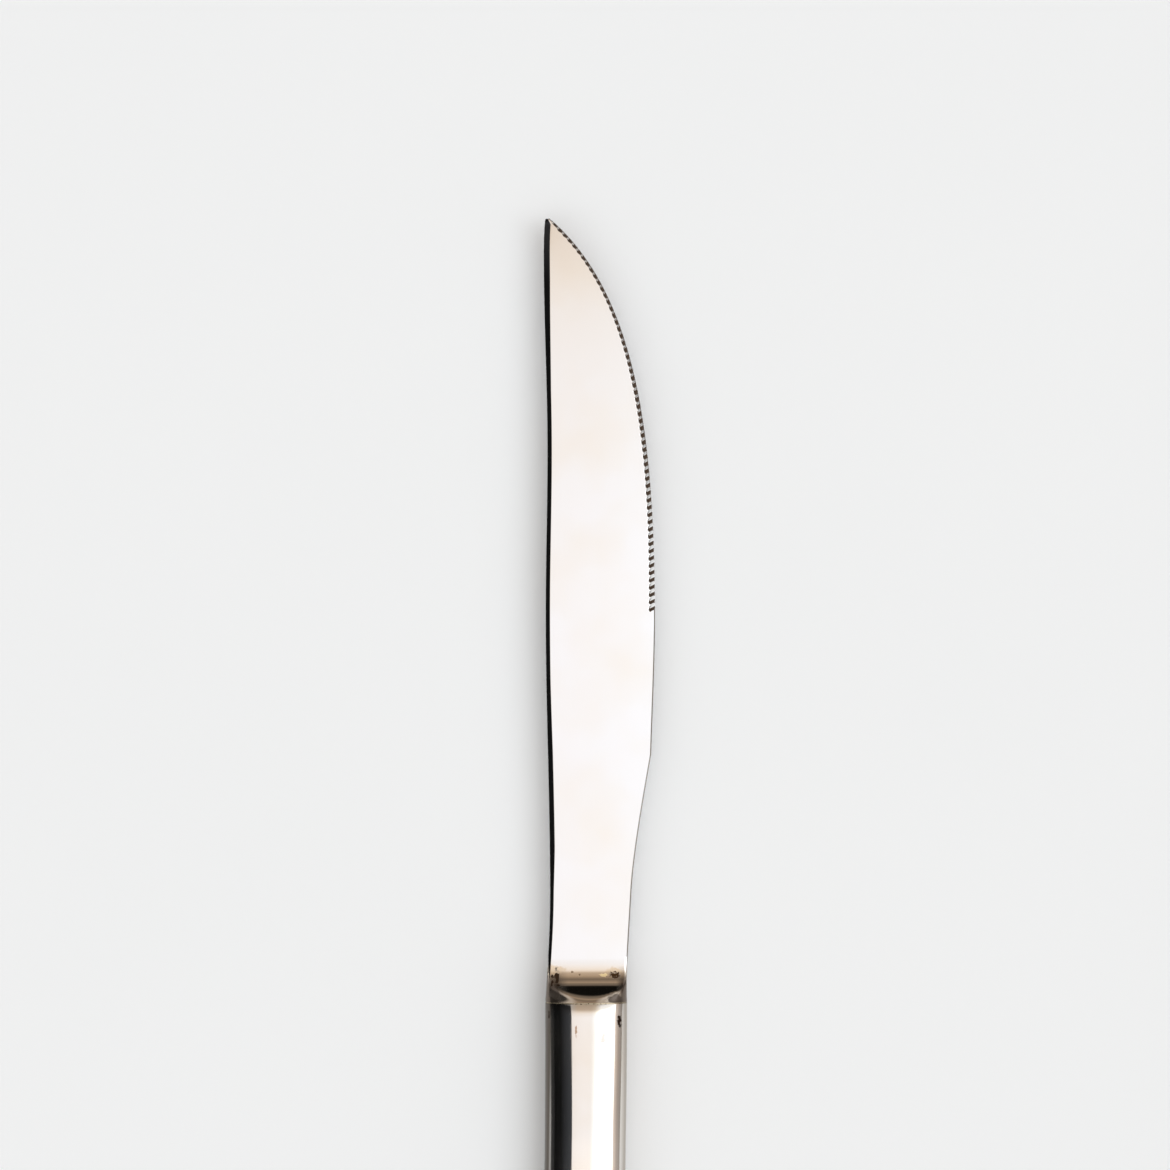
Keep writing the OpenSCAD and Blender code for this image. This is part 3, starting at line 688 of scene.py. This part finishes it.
for centre, size, grain, colour, roughness, metal in (
    ((-4.6, 4.5, 1.2), (3.4, 1.3, 4.0), 1.6, "#DECFBB", 0.16, 1.0),
    ((3.6, 4.4, 1.2), (2.2, 1.2, 4.0), 1.6, "#DECFBB", 0.16, 1.0),
    ((4.4, 0.5, 2.0), (2.6, 1.2, 3.0), 1.6, "#5C524A", 0.2, 0.6),
    ((-4.5, 1.3, 2.0), (1.7, 1.6, 3.0), 1.6, "#5C524A", 0.2, 0.6),
    ((-5.75, 4.3, 0.6), (0.45, 3.0, 2.5), 0.5, "#3A2E26", 0.35, 1.0),
    ((-4.2, 3.4, 1.2), (0.6, 2.3, 2.0), 0.5, "#3B2A1C", 0.5, 1.0),
    ((-4.9, 3.0, 1.2), (0.4, 1.6, 2.0), 0.5, "#3B2A1C", 0.5, 1.0),
    ((4.1, 3.8, 1.2), (1.5, 0.9, 2.0), 0.4, "#4A3522", 0.5, 1.0),
    ((2.5, 3.85, 1.2), (1.0, 0.5, 2.0), 0.25, "#F0D9A8", 0.45, 1.0),
    ((-2.0, 4.3, 1.2), (0.3, 0.3, 2.0), 0.2, "#8A7660", 0.4, 1.0),
    ((-0.9, 3.9, 1.2), (0.25, 0.25, 2.0), 0.2, "#8A7660", 0.4, 1.0),
):
    ragged = patch(blade_tree, blade_place, centre, size, grain)
    lay_stain_and_shade(blade_tree, blade_shader, ragged, colour, roughness, metal)
blade.data.materials.append(blade_steel)
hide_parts("blade")
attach(blade, "root")


# Tang: the forging's tail behind the bolster, left as forged. A short spigot of the handle's inner section
# centres it in the mouth, and three pairs of half-round notches key the flat bar into the cement.
fit_gap = 0.05
spigot_end = 2.7
tang_len = 42.0
tang_root_w = 6.4
tang_end_w = 4.6
tang_half_t = 1.3
notch_r = 0.8
notches = np.array([14.0, 26.0, 38.0])
tang_power = 0.2
tang_rows = 260
ring_columns = 65

girth_angle = np.linspace(0, 2 * np.pi, ring_columns)
spigot_w, spigot_t = mouth_half_w - wall - fit_gap, mouth_half_t - wall - fit_gap
tang_d = np.linspace(0, tang_len, tang_rows)
notch_cut = np.sqrt(np.clip(notch_r ** 2 - (tang_d[:, None] - notches) ** 2, 0, None)).max(1)
tang_w = mix(tang_root_w, tang_end_w, tang_d / tang_len) / 2 - notch_cut
spigot_d = [0, 0, spigot_end]
tail_d = np.concatenate([spigot_d, [spigot_end], spigot_end + tang_d, [spigot_end + tang_len]])
tail_w = np.concatenate([[0, spigot_w, spigot_w, tang_w[0]], tang_w, [0]])
tail_t = np.concatenate([[0, spigot_t, spigot_t, tang_half_t], np.full(tang_rows, tang_half_t), [0]])
square = np.where(np.arange(len(tail_d)) < len(spigot_d), 2 / section_power, tang_power)[:, None]
tail_x = tail_w[:, None] * np.sign(np.cos(girth_angle)) * np.abs(np.cos(girth_angle)) ** square
tail_z = tail_t[:, None] * np.sign(np.sin(girth_angle)) * np.abs(np.sin(girth_angle)) ** square
tail = np.stack([tail_x, np.broadcast_to(-tail_d[:, None], tail_x.shape), tail_z], -1)
tang = make_piece("forged_tang", [tail])

# Stainless as forged: grey-brown scale, half matte, in flakes.
flake_mm = 1.5
forged, forged_tree, forged_shader, forged_place = start_finish("chromium_stainless_as_forged", Metallic=0.9)
flakes = add(forged_tree, "ShaderNodeTexNoise", {"Scale": 1 / flake_mm, "Detail": 4.0},
             {"Vector": forged_place})
two_tone(forged_tree, forged_shader, flakes.outputs["Fac"], ("#8B8680", "#5C544D"), (0.35, 0.7))
tang.data.materials.append(forged)
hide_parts("blade")
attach(tang, "root")


# Mouth braze: the ring of silver brass between the bolster's back face and the mouth of the handle, melted
# in when the blade was set and polished nearly flush.
ring_w, ring_t = mouth_half_w - seam_sink, mouth_half_t - mouth_dip - seam_sink
hole_w, hole_t = mouth_half_w - wall, mouth_half_t - wall
ring_corners = [
    (ring_w, ring_t, 0),
    (ring_w, ring_t, -braze_t),
    (hole_w, hole_t, -braze_t),
    (hole_w, hole_t, 0),
]
ring_rims = [
    np.stack([w * blunt(np.cos(girth_angle)), np.full(ring_columns, y), t * blunt(np.sin(girth_angle))], -1)
    for w, t, y in ring_corners
]
ring = make_piece("mouth_braze_ring", [np.stack(ring_rims + ring_rims[:1], 1)])
ring.data.materials.append(braze)
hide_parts("mouth_braze")
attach(ring, "root")


# Table: the plain pale top that the knife lies on, a sheet of pressed laminate, wide enough to fill the
# picture from any side.
table_half = 5.0
table_corners = [(sx * table_half, sy * table_half, 0) for sx, sy in ((-1, -1), (1, -1), (1, 1), (-1, 1))]
table_mesh = bpy.data.meshes.new("table_top")
table_mesh.from_pydata(table_corners, [], [(0, 1, 2, 3)])
table = bpy.data.objects.new("table_top", table_mesh)
bpy.context.scene.collection.objects.link(table)

# Laminate, pressed matte: nearly white, with clouds so faint and wide that they only keep it from being flat.
cloud_mm = 60
laminate, laminate_tree, laminate_shader, laminate_place = start_finish(
    "matte_laminate_pressed", Roughness=0.85, Specular_IOR_Level=0.2)
clouds = add(laminate_tree, "ShaderNodeTexNoise", {"Scale": 1 / cloud_mm, "Detail": 3.0},
             {"Vector": laminate_place})
laminate_colour = add(laminate_tree, "ShaderNodeMix", {6: linear("#FCFDFE"), 7: linear("#FAFBFC")},
                      {0: clouds.outputs["Fac"]}, data_type="RGBA")
laminate_tree.links.new(laminate_colour.outputs[2], laminate_shader.inputs["Base Color"])
table_mesh.materials.append(laminate)


# Light: a plain soft studio, graded by direction because the polish mirrors it. A black screen stands on the
# left and a wide window on the right; the ceiling is brightest behind the handle; the room is grey, with a
# brown door straight behind the point; all of it falls off to the horizon.
studio_strength = 2.6
behind_handle = [
    (-1.0, 0.60), (-0.75, 0.64), (-0.55, 0.54), (-0.42, 0.60),
    (-0.34, (1.35, 1.36, 1.36)), (-0.20, (1.35, 1.36, 1.36)), (-0.12, 1.0), (0.0, 1.0),
]

# Each grade: the axis of the direction that it follows, then the component and the colour at each stop.
grades = {
    "screen_to_window": ("X", [
        (-1.0, 0.12),
        (-0.985, 0.04),
        (-0.95, 0.018),
        (-0.91, 0.003),
        (-0.70, 0.003),
        (-0.315, (0.022, 0.023, 0.026)),
        (-0.305, (0.425, 0.402, 0.387)),
        (0.0, (0.452, 0.433, 0.430)),
        (0.08, (0.453, 0.438, 0.435)),
        (0.10, (0.470, 0.465, 0.468)),
        (0.16, (0.53, 0.54, 0.55)),
        (0.30, (0.96, 1.0, 1.04)),
        (0.78, (0.96, 1.0, 1.04)),
        (0.82, (0.36, 0.31, 0.28)),
        (0.94, (0.30, 0.26, 0.24)),
        (1.0, (0.32, 0.30, 0.28)),
    ]),
    "end_walls": ("Y", [
        (-0.40, (0.685, 0.70, 0.70)),
        (0.0, (0.455, 0.44, 0.435)),
    ]),
    "beside": ("Y", [(-1.0, 0.0), (-0.26, 0.0), (-0.15, 1.0), (0.27, 1.0), (0.34, 0.0)]),
    "door": ("Y", behind_handle + [
        (0.068, (0.95, 0.93, 0.90)),
        (0.122, (0.91, 0.86, 0.79)),
        (0.148, (0.82, 0.74, 0.64)),
        (0.208, (0.52, 0.43, 0.335)),
        (0.314, (0.42, 0.345, 0.265)),
        (0.454, (0.17, 0.14, 0.115)),
        (0.695, (0.34, 0.28, 0.22)),
        (0.766, (0.22, 0.18, 0.145)),
        (0.83, (0.20, 0.17, 0.14)),
        (0.950, (0.24, 0.21, 0.18)),
        (0.966, (0.12, 0.105, 0.09)),
        (0.974, (0.012, 0.012, 0.011)),
        (1.0, (0.008, 0.008, 0.0075)),
    ]),
    "room": ("Y", behind_handle + [
        (0.068, (0.95, 0.94, 0.92)),
        (0.148, (0.79, 0.75, 0.71)),
        (0.208, (0.48, 0.455, 0.43)),
        (0.314, (0.40, 0.38, 0.36)),
        (0.45, (0.50, 0.49, 0.48)),
        (0.70, (0.58, 0.575, 0.57)),
        (1.0, (0.50, 0.495, 0.49)),
    ]),
    "on_axis": ("X", [(-0.30, 0.0), (-0.15, 1.0), (0.15, 1.0), (0.30, 0.0)]),
    "height": ("Z", [(0.0, 0.44), (0.12, 0.44), (0.35, 0.60), (0.60, 1.0)]),
}
world = bpy.data.worlds.new("studio")
world.use_nodes = True
bpy.context.scene.world = world
sky = world.node_tree
heading = add(sky, "ShaderNodeTexCoord")
sky_axes = add(sky, "ShaderNodeSeparateXYZ", {}, {0: heading.outputs["Generated"]})
tone = {}
for grade, (axis, stops) in grades.items():
    share = add(sky, "ShaderNodeMapRange", {"From Min": -1.0, "From Max": 1.0},
                {"Value": sky_axes.outputs[axis]})
    ramp = add(sky, "ShaderNodeValToRGB", {}, {"Fac": share.outputs["Result"]})
    elements = ramp.color_ramp.elements
    while len(elements) < len(stops):
        elements.new(0.5)
    for element, (component, colour) in zip(elements, stops):
        element.position = (component + 1) / 2
        element.color = (*np.broadcast_to(colour, 3).tolist(), 1.0)
    tone[grade] = ramp.outputs["Color"]
around = add(sky, "ShaderNodeMix", {},
             {0: tone["beside"], 6: tone["end_walls"], 7: tone["screen_to_window"]}, data_type="RGBA")
along = add(sky, "ShaderNodeMix", {}, {0: tone["on_axis"], 6: tone["room"], 7: tone["door"]},
            data_type="RGBA")
both = add(sky, "ShaderNodeMix", {0: 1.0}, {6: around.outputs[2], 7: along.outputs[2]},
           data_type="RGBA", blend_type="MULTIPLY")
light = add(sky, "ShaderNodeMix", {0: 1.0}, {6: both.outputs[2], 7: tone["height"]},
            data_type="RGBA", blend_type="MULTIPLY")
sky.links.new(light.outputs[2], sky.nodes["Background"].inputs["Color"])
sky.nodes["Background"].inputs["Strength"].default_value = studio_strength


# Camera: straight above, square to the table; the picture is 1170 pixels wide and shows the blade and
# the first stretch of the handle.
picture_px = 1170
pixel = 0.14432
axis_px, mouth_px = 586.2, 1001.0
camera_height = 600.0
lens = bpy.data.cameras.new("camera")
lens.sensor_width = 36.0
lens.lens = lens.sensor_width * camera_height / (picture_px * pixel)
lens.clip_start = 0.01
camera = bpy.data.objects.new("camera", lens)
aim = ((picture_px / 2 - axis_px) * pixel, (mouth_px - picture_px / 2) * pixel, camera_height)
camera.location = (mouth_centre + aim) * mm
bpy.context.scene.collection.objects.link(camera)
bpy.context.scene.camera = camera
bpy.context.scene.view_settings.view_transform = "Standard"
